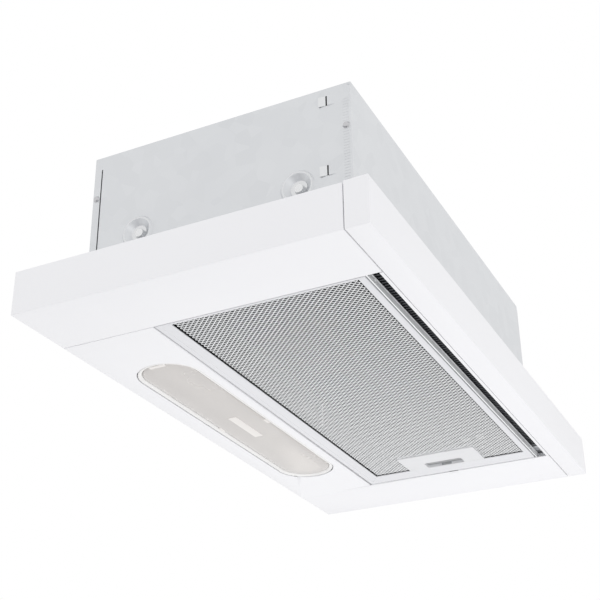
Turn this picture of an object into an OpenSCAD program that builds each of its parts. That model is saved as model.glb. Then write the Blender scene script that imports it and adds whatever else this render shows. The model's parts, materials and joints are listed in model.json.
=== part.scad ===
// Telescopic range hood for building in under a wall cabinet.
// The narrow galvanised carcass stands up inside the cabinet. The painted frame stays below it, and its
// full width front pulls out on ball slides with a ribbed intake screen behind it.
// X runs along the width, Y from the front to the wall, Z up. The origin is the middle of the underside.

/* [Painted frame] */
// Overall width of the frame
frame_w = 598; // [500:1:900]
// Overall depth of the frame, front to wall
frame_d = 312; // [300:1:400]
// Height of the side skirts
skirt_h = 39.5; // [39.5:0.5:60]
// Width of the return at the top of each skirt, which is screwed to the cabinet
return_w = 16; // [14:1:30]
// Thickness of every folded sheet
sheet_t = 1; // [0.8:0.1:1.2]
// Distance from the middle to the screw holes of the skirt returns, along Y
cabinet_hole_y = 110; // [80:5:125]
// Radius of the screw holes in the skirt returns
cabinet_hole_r = 2.75; // [2:0.25:3.5]

/* [Carcass] */
// Width over the side panels
body_w = 460; // [440:1:480]
// Height of the top panel above the underside
body_h = 184; // [180:1:260]
// Distance from the front of the frame to the carcass
setback = 40; // [38:1:50]
// Distance from the carcass to the back of the frame
rear_gap = 20; // [18:1:40]
// Height of the round bosses in the side panels
boss_z = 95; // [70:1:120]
// Distance between the two bosses of a side panel
boss_pitch = 153; // [120:1:170]
// Outer radius of a boss
boss_r = 15; // [13:0.5:20]
// Height of the side screws
side_screw_z = 141; // [120:1:150]

/* [Pull-out front] */
// Depth of the front, front to back
fascia_d = 20; // [18:1:30]
// Height of the front
fascia_h = 41; // [41:0.5:60]
// How far the front pulls out
travel = 140; // [80:5:150]
// Gap between the front's lip and the fixed sill, where air enters with the front closed
slot_gap = 10; // [8:1:16]
// Pitch of the ribs of the intake screen
rib_pitch = 4.5; // [4:0.5:8]
// Thickness of a rib
rib_w = 1.7; // [1.2:0.1:2]
// Height of the screen's ribs
screen_t = 5; // [3:0.5:5]
// Height of the tray's top sheet above the underside
tray_top = 36; // [34:0.5:37]
// Travel of the light slider
light_travel = 8; // [6:1:10]
// Travel of the speed slider, over its four positions
speed_travel = 18; // [12:1:24]

/* [Grease filter] */
// Thickness of the filter cassette
filter_t = 6; // [5.5:0.5:8]
// Width of the filter's rim at the latch end
rim_latch = 19; // [14:1:24]
// Width of the filter's rim at the hinge end
rim_hinge = 3.5; // [3:0.5:6]
// Width of the filter's front rim
rim_front = 6.5; // [4:0.5:12]
// Width of the filter's rear rim
rim_rear = 14; // [6:1:20]
// Length of the handle plate, along Y
handle_l = 84; // [70:1:100]
// Width of the handle plate, along X
handle_w = 40.5; // [36:0.5:50]
// Length of the finger recess
grip_l = 41; // [34:1:48]
// Width of the finger recess
grip_w = 15; // [12:0.5:17]
// Number of mesh layers in the filter
layers = 4; // [2:1:5]
// Thickness of a mesh layer
layer_t = 0.4; // [0.3:0.1:0.5]
// Travel of the latch
latch_travel = 5; // [4:0.5:5]

/* [Lamp] */
// Depth of the lamp panel, from the filter to the back
lamp_zone = 88.5; // [80:0.5:110]
// Length of the lamp lens
lens_l = 330; // [250:1:380]
// Width of the lamp lens
lens_w = 60; // [50:1:64]
// Radius of a lamp bulb
bulb_r = 10; // [8:0.5:11]

/* [Blower and outlet] */
// Outer diameter of the duct collar
duct_d = 120; // [118:1:125]
// Height of the duct collar
collar_h = 35; // [25:1:60]
// Radius of the blower wheel
wheel_r = 46; // [40:1:48]
// Length of the blower wheel
wheel_l = 92; // [70:1:100]
// Number of blades of the blower wheel
blades = 28; // [16:1:36]
// Radius of the motor
motor_r = 32; // [26:1:34]

/* [Fits] */
// Running clearance between a pin or shaft and its bore, on the radius
run_gap = 0.05; // [0.02:0.01:0.1]
// Gap between parts that move past each other
slide_gap = 0.5; // [0.4:0.1:1]

/* [Hidden] */
$fn = 64;
t = sheet_t;
eps = 0.5;                                  // how far a cutter runs past the face that it opens

// Planes of the frame
fx = frame_w / 2;
fy = -frame_d / 2;
by = frame_d / 2;
fascia_y = fy + fascia_d;                   // back edge of the pull-out front
cover_y = fascia_y + slide_gap;             // front edge of the side covers
lip_d = 3;
lip_y = fascia_y + lip_d;                   // back edge of the white lip
sill_y = lip_y + slot_gap;                  // front face of the fixed sill
body_y0 = fy + setback;
body_y1 = by - rear_gap;
bx = body_w / 2;
bin = bx - t;                               // inner face of a side panel
strip_x = bx - 1.5;                         // inner edge of the white strip under a side
panel_x = strip_x - 0.2;                    // side edge of the lamp panel
lamp_y0 = by - lamp_zone;
lamp_y = lamp_y0 + 39.7;                    // centre line of the lens
latch_rail_x = strip_x - 6.3;               // inner edge of the rail beside the filter

// Filter
filter_x0 = -strip_x + 1;
filter_x1 = latch_rail_x - 0.7;
filter_y0 = sill_y + t + 1.5;
filter_y1 = lamp_y0 - 1;
filter_z = 0.4;
filter_top = filter_z + filter_t;
pivot_x = filter_x0 + 2;
pivot_z = 2.6;
pivot_r = 1.2;
handle_y = (filter_y0 + filter_y1) / 2 - 3;
rim_x = filter_x1 - rim_latch;              // where the handle plate meets the rim
handle_x = rim_x - handle_w;
grip_x1 = rim_x - 2;
grip_x0 = grip_x1 - grip_w;
tongue_w = 10;
tongue_x = latch_rail_x + 3.3;              // tip of the latch tongue
tongue_z = [1.6, 3];
leaf_t = 0.3;

// Pull-out front
screen_z = filter_top + 1;
screen_top = screen_z + screen_t;
screen_x = [-bin + 3, bin - 21.5];
screen_y1 = sill_y + travel + 5;            // the screen still covers the sill when it is out
tray_x = bx - 13;                           // outer face of the tray's sides
panel_cut = [screen_x[1] - 67, screen_x[1] - 1];
panel_cut_y = [fascia_y + 36, fascia_y + 86];
light_y = panel_cut_y[0] + 33;
speed_y = panel_cut_y[0] + 17;
slider_x = panel_cut[0] + 16;

// Ball slides
rail_z = [14, 34];
rail_y0 = body_y0 + 4;
rail_y1 = body_y1 - 16;
runner_z = [18, 30];
runner_y1 = rail_y0 + travel + 52;
ball_x = bin - 5.5;
cage_l = 50;
cage_y0 = rail_y0 + travel / 2 + 1;

// Blower
wall = 2;
wheel_z = tray_top + 71;
scroll_r0 = wheel_r + 6;
scroll_r1 = wheel_r + 26;
scroll_cut = 77;                            // angle at which the scroll's tongue begins
scroll_steps = 32;
shell_x = wheel_l / 2 + 2 * wall;
neck_y0 = scroll_r0 * cos(scroll_cut);
outlet_w = [2 * (shell_x - wall) + 4, scroll_r1 - neck_y0 - 2 * wall];
wheel_y = (body_y0 + body_y1) / 2 - 24;
outlet_y = wheel_y + (neck_y0 + scroll_r1) / 2;
inlet_r = wheel_r - 6;
neck_top = body_h - t;
flange_x = duct_d / 2 + 6;
flange_y = duct_d / 2 - 2;
shaft_r = 3;

// Outlet collar
duct_r = duct_d / 2;
duct_in = duct_r - 1.5;
collar_top = body_h + collar_h;
flap_z = body_h + 20;
flap_r = duct_in - 1;
flap_pin_r = 1.5;
knuckle_r = 3;

// Fasteners
screw_r = 1.6;
side_screws_at = [[body_y0 + 4.5, side_screw_z], [body_y1 - 3.5, side_screw_z]];
cover_screws_at = [for (y = [-100, 0, 100]) [y, skirt_h - 2.7]];
outlet_screws_at = [for (x = [-1, 1], y = [-1, 1]) [x * (flange_x - 5), outlet_y + y * (flange_y - 5)]];
tray_screws_at = [for (x = [-180, -60, 60, 180]) [x, 24]];
reflector_screws_at = [for (s = [-1, 1]) [s * (lens_l / 2 + 9), lamp_y]];
boss_y = [(body_y0 + body_y1) / 2 - boss_pitch / 2, (body_y0 + body_y1) / 2 + boss_pitch / 2];
gland_at = [170, body_y1 - 44];
gland_r = 8;
cable_r = 4;

// Lamp
reflector_z = [t, 33];
bulb_z = 19;
lens_pivot_x = lens_l / 2 - 8;
lens_pivot_y = sqrt(pow(lens_w / 2, 2) - pow(lens_w / 2 - 8, 2));   // where the pins leave the lens
lens_pivot_z = 1.8;
bulb_x = lens_l / 2 - 36;
switch_at = [-tray_x + 3, screen_y1 + 2.5, 20];   // corner of the drawer microswitch

white = "white";
galvanised = "lightgray";
dark = "dimgray";

// A box from its lowest and highest x, y and z
module block(x, y, z) translate([x[0], y[0], z[0]]) cube([x[1] - x[0], y[1] - y[0], z[1] - z[0]]);

// A cylinder along X from x[0] to x[1]
module rod_x(r, x, y, z) translate([x[0], y, z]) rotate([0, 90, 0]) cylinder(r = r, h = x[1] - x[0]);

// A cylinder along Y from y[0] to y[1]
module rod_y(r, x, y, z) translate([x, y[1], z]) rotate([90, 0, 0]) cylinder(r = r, h = y[1] - y[0]);

// A long flat outline with half-round ends, centred
module stadium(l, w) {
    square([l - w, w], center = true);
    for (s = [-1, 1]) translate([s * (l - w) / 2, 0]) circle(d = w);
}

// ---- Carcass -------------------------------------------------------------------------------------

// Pressed boss: a raised ring round a dished seat with a hole for its rivet nut. Outwards is +Z.
module boss() rotate_extrude() polygon([[boss_r + eps, t], [boss_r - 0.8, t + 1.4], [boss_r - 2.6, t + 1.4],
    [6.5, -2.6], [3.1, -2.6], [3.1, -2.6 - t], [7, -2.6 - t], [boss_r - 2.2, 0.4], [boss_r - 1.4, 0.4],
    [boss_r - 0.4, 0], [boss_r + eps, 0]]);

// Side panel, drawn on the left. It has a toe under the front panel, bosses, two lanced slots with their
// pressed tabs, and a relief slit in front of the rear corner.
module side_panel() difference() {
    union() {
        difference() {
            block([-bx, -bin], [body_y0 + t, body_y1], [t, body_h]);
            for (y = boss_y) rod_x(boss_r, [-bx - eps, -bin + eps], y, boss_z);
        }
        block([-bx, -bin], [cover_y + 1.5, body_y0 + t], [t, tray_top]);
        for (y = boss_y) translate([-bin, y, boss_z]) rotate([0, -90, 0]) boss();
        for (z = [body_h - 17.5, boss_z + 3]) translate([-bx, body_y0 + 22.5, z])
            linear_extrude(10) polygon([[0.2, 0], [0, 0], [-0.6, -1.2], [0, -8], [0.2, -8]]);
    }
    for (z = [body_h - 17.5, boss_z + 3]) block([-bx - 2, -bin + eps], [body_y0 + 21.3, body_y0 + 22.8], [z, z + 10]);
    block([-bx - eps, -bin + eps], [body_y1 - 8.2, body_y1 - 7], [skirt_h + 1, body_h - 13]);
    for (s = side_screws_at) rod_x(screw_r, [-bx - eps, -bin + eps], s[0], s[1]);
    for (s = cover_screws_at) rod_x(screw_r, [-bx - eps, -bin + eps], s[0], s[1]);
}

module left_side_panel() color(galvanised) side_panel();

module right_side_panel() color(galvanised) mirror([1, 0, 0]) side_panel();

// Front panel, with flanges folded back over the side panels and small reliefs at its top corners
module front_panel() color(galvanised) difference() {
    union() {
        block([-bx - t, bx + t], [body_y0, body_y0 + t], [skirt_h, body_h]);
        for (s = [-1, 1]) block([s * (bx + t / 2) - t / 2, s * (bx + t / 2) + t / 2], [body_y0, body_y0 + 9], [skirt_h, body_h - 2]);
    }
    for (s = [-1, 1]) {
        block([s * (bx + t) - 1.2, s * (bx + t) + 1.2], [body_y0 - eps, body_y0 + 2], [body_h - 4, body_h + eps]);
        rod_x(screw_r, [s * bx - t - eps, s * bx + t + eps], side_screws_at[0][0], side_screw_z);
    }
}

// Rear panel, with flanges inside the side panels
module rear_panel() color(galvanised) difference() {
    union() {
        block([-bin, bin], [body_y1 - t, body_y1], [skirt_h, body_h]);
        for (s = [-1, 1]) block([s * (bin - t / 2) - t / 2, s * (bin - t / 2) + t / 2], [body_y1 - 6.5, body_y1], [skirt_h, body_h - 8]);
    }
    for (s = [-1, 1]) rod_x(screw_r, [s * bin - t - eps, s * bin + t + eps], side_screws_at[1][0], side_screw_z);
}

// Top panel: a shallow lid inside the four walls, with the blower opening and the cable hole
module top_panel() color(galvanised) difference() {
    block([-bin, bin], [body_y0 + t, body_y1 - t], [body_h - 6, body_h]);
    block([-bin + t, bin - t], [body_y0 + 2 * t, body_y1 - 2 * t], [body_h - 6 - eps, body_h - t]);
    block([-outlet_w[0] / 2, outlet_w[0] / 2], [outlet_y - outlet_w[1] / 2, outlet_y + outlet_w[1] / 2], [body_h - 2, body_h + eps]);
    for (s = outlet_screws_at) translate([s[0], s[1], body_h - 2]) cylinder(r = screw_r, h = 3);
    translate([gland_at[0], gland_at[1], body_h - 2]) cylinder(r = gland_r + 0.2, h = 3);
}

// Front sill: the galvanised strip in front of the filter. Its holes take the filter's pin and a hook.
module front_sill() color(galvanised) difference() {
    union() {
        block([-bin, bin], [sill_y, sill_y + t], [filter_z, filter_top]);
        block([-bin, bin], [sill_y - 0.4, sill_y + t], [filter_top - 0.8, filter_top]);
        for (s = [-1, 1]) block([s * (bin - t / 2) - t / 2, s * (bin - t / 2) + t / 2], [lip_y + 2, sill_y + t], [1.4, filter_top]);
    }
    block([latch_rail_x - 0.2, bin + eps], [lip_y, sill_y + t + eps], [0, 1.2]);
    block([-bin - eps, -strip_x + 0.2], [lip_y, sill_y + t + eps], [0, 1.2]);
    rod_y(pivot_r + run_gap, pivot_x, [sill_y - 1, sill_y + t + eps], pivot_z);
    for (x = [-bx + 18, bx - 30]) for (s = [-0.8, 0.8]) rod_y(1.3, x + s, [sill_y - 1, sill_y + t + eps], filter_top / 2);
}

// Threaded inserts set in the four bosses
module rivet_nuts() color(galvanised) for (s = [0, 1]) mirror([s, 0, 0]) for (y = boss_y)
    translate([-bin, y, boss_z]) rotate([0, -90, 0]) difference() {
        union() {
            translate([0, 0, -2.6]) cylinder(r = 4.4, h = 1.3);
            translate([0, 0, -9]) cylinder(r = 3, h = 7);
        }
        translate([0, 0, -10]) cylinder(r = 2.1, h = 10);
    }

// ---- Painted frame -------------------------------------------------------------------------------

// Side cover, drawn on the left: bottom strip, outer skirt with its screwed return, end walls, and the
// flange that is screwed to the carcass
module side_cover() difference() {
    union() {
        block([-fx, -strip_x], [cover_y, by], [0, t]);
        block([-fx, -fx + t], [cover_y, by], [0, skirt_h]);
        block([-fx, -fx + return_w], [cover_y, by], [skirt_h - t, skirt_h]);
        block([-fx, -bx], [by - t, by], [0, skirt_h]);
        block([-fx, -bx], [cover_y, cover_y + t], [0, skirt_h - 1]);
        block([-bx - t, -bx], [cover_y, by], [0, skirt_h - 0.5]);
    }
    for (s = [-1, 1]) translate([-fx + return_w / 2, s * cabinet_hole_y, skirt_h - t - eps]) cylinder(r = cabinet_hole_r, h = t + 2 * eps);
    for (s = cover_screws_at) rod_x(screw_r, [-bx - t - eps, -bx + eps], s[0], s[1]);
}

module left_side_cover() color(white) side_cover();

module right_side_cover() color(white) mirror([1, 0, 0]) side_cover();

// Lamp panel: closes the underside behind the filter, and reaches forward beside the filter as a rail
module lamp_panel() color(white) difference() {
    union() {
        block([-panel_x, panel_x], [lamp_y0, by], [0, t]);
        block([latch_rail_x, panel_x], [cover_y, lamp_y0 + t], [0, t]);
        block([-panel_x, panel_x], [lamp_y0, lamp_y0 + t], [0, filter_top]);
        block([-panel_x, panel_x], [by - t, by], [0, skirt_h]);
        block([-bx + 0.2, bx - 0.2], [body_y1, by], [skirt_h - t, skirt_h]);
        translate([0, lamp_y, 0]) linear_extrude(5) stadium(lens_l + 4, lens_w + 3);
    }
    translate([0, lamp_y, -eps]) linear_extrude(6) stadium(lens_l + 2, lens_w + 1);
    rod_y(pivot_r + run_gap, pivot_x, [lamp_y0 - eps, lamp_y0 + t + eps], pivot_z);
    for (s = [-1, 1]) translate([0, lamp_y, 0]) mirror([0, (1 - s) / 2, 0])
        rod_y(pivot_r + run_gap, lens_pivot_x, [lens_pivot_y - 1, lens_pivot_y + 4], lens_pivot_z);
    block([latch_rail_x - eps, tongue_x + 0.8], [handle_y - tongue_w / 2 - 0.5, handle_y + tongue_w / 2 + 0.5], [-eps, t + eps]);
    for (s = reflector_screws_at) translate([s[0], s[1], 0.3]) cylinder(r = screw_r, h = 2);
}

// Spring leaf that holds the latch tongue. It dips into the rail's notch and is fixed on the rail's top.
module keeper_leaf() color(white) for (s = [-1, 1]) translate([0, handle_y, 0]) {
    edge = tongue_w / 2 + 0.3;
    block([latch_rail_x + 0.2, tongue_x + 0.6], [min(0, s * edge), max(0, s * edge)], [0.1, 0.1 + leaf_t]);
    block([latch_rail_x + 0.2, tongue_x + 0.6], [s * edge - leaf_t / 2, s * edge + leaf_t / 2], [0.1, t + leaf_t]);
    block([latch_rail_x + 0.2, tongue_x + 0.6], [min(s * edge, s * (edge + 7)), max(s * edge, s * (edge + 7))], [t, t + leaf_t]);
}

// ---- Ball slides ---------------------------------------------------------------------------------

// Fixed member of a slide, drawn on the left
module fixed_rail() {
    block([-bin, -bin + 1], [rail_y0, rail_y1], rail_z);
    for (z = [rail_z[0], rail_z[1] - 1]) block([-bin, -bin + 7], [rail_y0, rail_y1], [z, z + 1]);
}

module left_fixed_rail() color("silver") fixed_rail();

module right_fixed_rail() color("silver") mirror([1, 0, 0]) fixed_rail();

// Moving member of a slide, drawn on the left, fixed to the tray's side
module runner() {
    block([-tray_x - 1, -tray_x], [fascia_y + 6, runner_y1], runner_z);
    for (z = [runner_z[0], runner_z[1] - 1]) block([-tray_x - 8, -tray_x], [fascia_y + 6, runner_y1], [z, z + 1]);
}

module left_runner() color("silver") runner();

module right_runner() color("silver") mirror([1, 0, 0]) runner();

// Ball cage of a slide, drawn on the left: a folded strip that carries two rows of balls
module ball_cage() {
    lower = (rail_z[0] + 1 + runner_z[0]) / 2;
    upper = (rail_z[1] - 1 + runner_z[1]) / 2;
    block([-bin + 2, -bin + 2.6], [cage_y0, cage_y0 + cage_l], [lower - 0.3, upper + 0.3]);
    for (z = [lower, upper]) {
        block([-bin + 2, -bin + 7.5], [cage_y0, cage_y0 + cage_l], [z - 0.3, z + 0.3]);
        for (k = [0 : 4]) translate([-ball_x, cage_y0 + 5 + 10 * k, z]) sphere(r = 1.45, $fn = 24);
    }
}

module left_ball_cage() color("gold") ball_cage();

module right_ball_cage() color("gold") mirror([1, 0, 0]) ball_cage();

// ---- Lamp ----------------------------------------------------------------------------------------

// Frosted lens: a shallow dish that turns down on two pins near its right end
module lamp_lens() color("ivory") translate([0, lamp_y, 0]) {
    difference() {
        translate([0, 0, 0.3]) linear_extrude(6.7) stadium(lens_l, lens_w);
        translate([0, 0, 2.3]) linear_extrude(5.7) stadium(lens_l - 4, lens_w - 4);
        for (y = [-1, 1]) translate([0, y * lens_w / 2, 3]) cube([16, 5, 12], center = true);
    }
    for (s = [-1, 1]) mirror([0, (1 - s) / 2, 0]) rod_y(pivot_r, lens_pivot_x, [lens_pivot_y - 2.5, lens_pivot_y + 1.4], lens_pivot_z);
}

// Reflector: a bright deep tray above the lens, open below
module reflector() color("silver") difference() {
    translate([0, lamp_y, reflector_z[0]]) {
        linear_extrude(reflector_z[1] - reflector_z[0]) stadium(lens_l + 7, lens_w + 6);
        for (s = reflector_screws_at) translate([s[0], 0, 0.5]) cube([14, 12, 1], center = true);
    }
    translate([0, lamp_y, reflector_z[0] - eps]) linear_extrude(reflector_z[1] - reflector_z[0] - 1 + eps) stadium(lens_l + 5, lens_w + 4);
    for (s = reflector_screws_at) translate([s[0], s[1], 0]) cylinder(r = screw_r, h = 4);
}

// Lamp holder, drawn on the left: a moulded block with a socket
module lamp_holder() difference() {
    block([-bulb_x - 22, -bulb_x], [lamp_y - 12, lamp_y + 12], [bulb_z - 11, reflector_z[1] - 1]);
    rod_x(7.1, [-bulb_x - 18, -bulb_x + eps], lamp_y, bulb_z);
}

module left_lamp_holder() color("ivory") lamp_holder();

module right_lamp_holder() color("ivory") mirror([1, 0, 0]) lamp_holder();

// Tubular lamp, drawn on the left: a metal cap in the holder and a round ended glass
module lamp() translate([-bulb_x, lamp_y, bulb_z]) rotate([0, 90, 0]) rotate_extrude()
    polygon(concat([[0, -17], [3, -17], [7, -14], [7, 3], [bulb_r, 8], [bulb_r, 50]],
        [for (a = [15 : 15 : 90]) [bulb_r * cos(a), 50 + bulb_r * sin(a)]]));

module left_lamp() color("white") lamp();

module right_lamp() color("white") mirror([1, 0, 0]) lamp();

// ---- Blower --------------------------------------------------------------------------------------

// Radius of the scroll at an angle from the rearward direction
function scroll_r(a) = scroll_r0 + (scroll_r1 - scroll_r0) * (a - scroll_cut) / (360 - scroll_cut);

// Outline of the scroll and its neck in the Y-Z plane, shrunk by inset and raised past the top by rise
module scroll_outline(inset, rise) {
    first = inset > 0 ? 1 : 0;
    top = neck_top - wheel_z + rise;
    polygon(concat([[neck_y0 + inset, top], [neck_y0 + inset, scroll_r0 * sin(scroll_cut) - 2 * inset]],
        [for (i = [first : scroll_steps]) let (a = scroll_cut + i * (360 - scroll_cut) / scroll_steps)
            (scroll_r(a) - inset) * [cos(a), sin(a)]],
        [[scroll_r1 - inset, top]]));
}

// One half of the blower housing, drawn on the left, with its inlet and its part of the mounting flange
module blower_shell() difference() {
    union() {
        translate([-shell_x, wheel_y, wheel_z]) rotate([90, 0, 90]) linear_extrude(shell_x) scroll_outline(0, 0);
        block([-flange_x, 0], [outlet_y - flange_y, outlet_y + flange_y], [neck_top - wall, neck_top]);
    }
    translate([-shell_x + wall, wheel_y, wheel_z]) rotate([90, 0, 90]) linear_extrude(shell_x) scroll_outline(wall, 1);
    rod_x(inlet_r, [-shell_x - eps, -shell_x + wall + eps], wheel_y, wheel_z);
    for (s = outlet_screws_at) translate([s[0], s[1], neck_top - wall - eps]) cylinder(r = screw_r, h = wall + 2 * eps);
    for (a = [90, 210, 330]) rod_x(screw_r, [-shell_x - eps, -shell_x + wall + eps], wheel_y + (inlet_r + 5) * cos(a), wheel_z + (inlet_r + 5) * sin(a));
}

module left_blower_shell() color(dark) blower_shell();

module right_blower_shell() color(dark) mirror([1, 0, 0]) blower_shell();

// Spider that carries the motor in the left inlet
module motor_bracket() color("silver") translate([-shell_x - 2, wheel_y, wheel_z]) rotate([0, 90, 0]) difference() {
    cylinder(r = inlet_r + 8, h = 2);
    translate([0, 0, -eps]) difference() {
        cylinder(r = inlet_r + 1, h = 3);
        translate([0, 0, -eps]) cylinder(r = motor_r + 3, h = 4);
        for (a = [0, 120, 240]) rotate([0, 0, a + 180]) translate([0, -5, -eps]) cube([inlet_r + 2, 10, 4]);
    }
    translate([0, 0, -eps]) cylinder(r = motor_r + run_gap, h = 3);
    for (a = [90, 210, 330]) translate([-(inlet_r + 5) * sin(a), (inlet_r + 5) * cos(a), -eps]) cylinder(r = screw_r, h = 3);
}

// Motor: a round can with a smaller end bell and the shaft's bore
module motor() color("gray") difference() {
    union() {
        rod_x(motor_r, [-shell_x - 16, -10], wheel_y, wheel_z);
        rod_x(12, [-shell_x - 21, -7], wheel_y, wheel_z);
    }
    rod_x(shaft_r + run_gap, [-shell_x - 22, 0], wheel_y, wheel_z);
}

module motor_shaft() color("silver") rod_x(shaft_r, [-shell_x - 24, 12], wheel_y, wheel_z);

// Double inlet wheel: a centre disc on a hub, blades between the disc and two end rings
module blower_wheel() color("gray") translate([0, wheel_y, wheel_z]) rotate([0, 90, 0]) difference() {
    union() {
        translate([0, 0, -1]) cylinder(r = wheel_r, h = 2);
        translate([0, 0, -5]) cylinder(r = 9, h = 16);
        for (z = [-wheel_l / 2, wheel_l / 2 - 2]) translate([0, 0, z]) difference() {
            cylinder(r = wheel_r, h = 2);
            translate([0, 0, -eps]) cylinder(r = wheel_r - 7, h = 3);
        }
        for (k = [0 : blades - 1]) rotate([0, 0, k * 360 / blades]) translate([wheel_r - 3.6, 0, 0])
            rotate([0, 0, 35]) cube([6, 0.8, wheel_l - 1], center = true);
    }
    translate([0, 0, -6]) cylinder(r = shaft_r, h = 20);
}

// ---- Outlet --------------------------------------------------------------------------------------

// Duct collar: a round spigot on a flat base, drilled across for the flap pin
module outlet_collar() color(dark) difference() {
    translate([0, outlet_y, body_h]) {
        translate([-flange_x, -flange_y - 4, 0]) cube([2 * flange_x, 2 * flange_y + 8, 1.5]);
        cylinder(r = duct_r, h = collar_h);
    }
    translate([0, outlet_y, body_h - eps]) cylinder(r = duct_in, h = collar_h + 2 * eps);
    rod_x(flap_pin_r, [-duct_r - 1, duct_r + 1], outlet_y, flap_z);
    for (s = outlet_screws_at) translate([s[0], s[1], body_h - eps]) cylinder(r = screw_r, h = 3);
}

module flap_pin() color("silver") rod_x(flap_pin_r, [-duct_r + 0.2, duct_r - 0.2], outlet_y, flap_z);

// Half-round damper flap on the front side of the pin, with two knuckles that begin at x
module flap(knuckles) translate([0, outlet_y, flap_z]) difference() {
    union() {
        intersection() {
            translate([0, 0, -0.5]) cylinder(r = flap_r, h = 1);
            translate([-duct_r, -duct_r, -1]) cube([duct_d, duct_r - knuckle_r - 0.6, 2]);
        }
        for (x = knuckles) {
            translate([x, 0, 0]) rotate([0, 90, 0]) cylinder(r = knuckle_r, h = 12);
            translate([x, -knuckle_r - 2, -0.5]) cube([12, knuckle_r + 2, 1]);
        }
    }
    rotate([0, 90, 0]) cylinder(r = flap_pin_r + run_gap, h = duct_d, center = true);
}

module front_flap() color(dark) flap([-50, 10]);

module rear_flap() color(dark) translate([0, 2 * outlet_y, 0]) mirror([0, 1, 0]) flap([-22, 38]);

// ---- Electrical ----------------------------------------------------------------------------------

// Terminal box: open at the top, closed by the top panel, with the cable gland above it
module terminal_box() color(white) difference() {
    block([gland_at[0] - 45, gland_at[0] + 45], [gland_at[1] - 18, body_y1 - 3], [body_h - 46, body_h - t]);
    block([gland_at[0] - 43, gland_at[0] + 43], [gland_at[1] - 16, body_y1 - 5], [body_h - 44, body_h]);
}

module capacitor() color("ivory") {
    translate([-130, body_y0 + 45, body_h - 60]) cylinder(r = 15, h = 52);
    translate([-130, body_y0 + 45, body_h - 9]) cylinder(r = 4, h = 9 - t);
}

// Cable gland: a flanged bush in the top panel with its nut below
module cable_gland() color(dark) translate([gland_at[0], gland_at[1], 0]) difference() {
    union() {
        translate([0, 0, body_h]) cylinder(r = gland_r + 3, h = 3);
        translate([0, 0, body_h + 3]) cylinder(r = gland_r, h = 9);
        translate([0, 0, body_h - t]) cylinder(r = gland_r, h = t);
        translate([0, 0, body_h - t - 4]) cylinder(r = gland_r + 3, h = 4, $fn = 6);
    }
    translate([0, 0, body_h - 8]) cylinder(r = cable_r, h = 24);
}

// Bracket above the left slide that carries the drawer switch
module switch_bracket() color(galvanised) {
    block([-bin, switch_at[0] + 10], [switch_at[1] + 1, switch_at[1] + 19], [tray_top - 1, tray_top]);
    block([-bin, -bin + t], [switch_at[1] + 1, switch_at[1] + 19], [tray_top, tray_top + 12]);
}

// Drawer switch: the pulled-out tray lets its plunger go, and the hood starts
module drawer_switch() color(dark) difference() {
    block([switch_at[0], switch_at[0] + 10], [switch_at[1], switch_at[1] + 20], [switch_at[2], tray_top - 1]);
    rod_y(1.5 + run_gap, switch_at[0] + 5, [switch_at[1] - eps, switch_at[1] + 8], switch_at[2] + 6);
}

module switch_plunger() color("red") rod_y(1.5, switch_at[0] + 5, [switch_at[1] - 2, switch_at[1] + 5], switch_at[2] + 6);

// ---- Fasteners -----------------------------------------------------------------------------------

// Pan head screw, head up, its shank going down
module screw(length) {
    cylinder(r1 = 3.2, r2 = 2.2, h = 1.6);
    translate([0, 0, -length]) cylinder(r = screw_r, h = length);
}

module side_screws() color("silver") for (m = [0, 1]) mirror([m, 0, 0]) {
    translate([-bx - t, side_screws_at[0][0], side_screw_z]) rotate([0, -90, 0]) screw(6);
    translate([-bx, side_screws_at[1][0], side_screw_z]) rotate([0, -90, 0]) screw(5);
}

module cover_screws() color("silver") for (m = [0, 1]) mirror([m, 0, 0]) for (s = cover_screws_at)
    translate([-bx - t, s[0], s[1]]) rotate([0, -90, 0]) screw(4);

module outlet_screws() color("silver") for (s = outlet_screws_at) translate([s[0], s[1], body_h + 1.5]) screw(7);

module motor_screws() color("silver") for (a = [90, 210, 330])
    translate([-shell_x - 2, wheel_y + (inlet_r + 5) * cos(a), wheel_z + (inlet_r + 5) * sin(a)]) rotate([0, -90, 0]) screw(4);

module reflector_screws() color("silver") for (s = reflector_screws_at) translate([s[0], s[1], t + 1]) screw(1.5);

module tray_screws() color("silver") for (s = tray_screws_at) translate([s[0], fascia_y + 1, s[1]]) rotate([-90, 0, 0]) screw(2);

// ---- Pull-out front ------------------------------------------------------------------------------

// Front: one folded sheet, open at the back
module fascia() color(white) difference() {
    block([-fx, fx], [fy, fascia_y], [0, fascia_h]);
    block([-fx + t, fx - t], [fy + t, fascia_y + eps], [t, fascia_h - t]);
}

// Back of the front: closes the fold and carries the lip that is seen beside the air slot
module fascia_back() color(white) difference() {
    union() {
        block([-fx + t + 0.2, fx - t - 0.2], [fascia_y - 1, fascia_y], [t + 0.2, fascia_h - t - 0.2]);
        block([-strip_x + 0.5, latch_rail_x - 0.5], [fascia_y - 1, lip_y - 0.2], [t + 0.2, t + 1.2]);
        block([-strip_x + 0.5, latch_rail_x - 0.5], [fascia_y + 0.2, lip_y], [0, t + 1.2]);
    }
    for (s = tray_screws_at) rod_y(screw_r, s[0], [fascia_y - 2, fascia_y + eps], s[1]);
}

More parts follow.
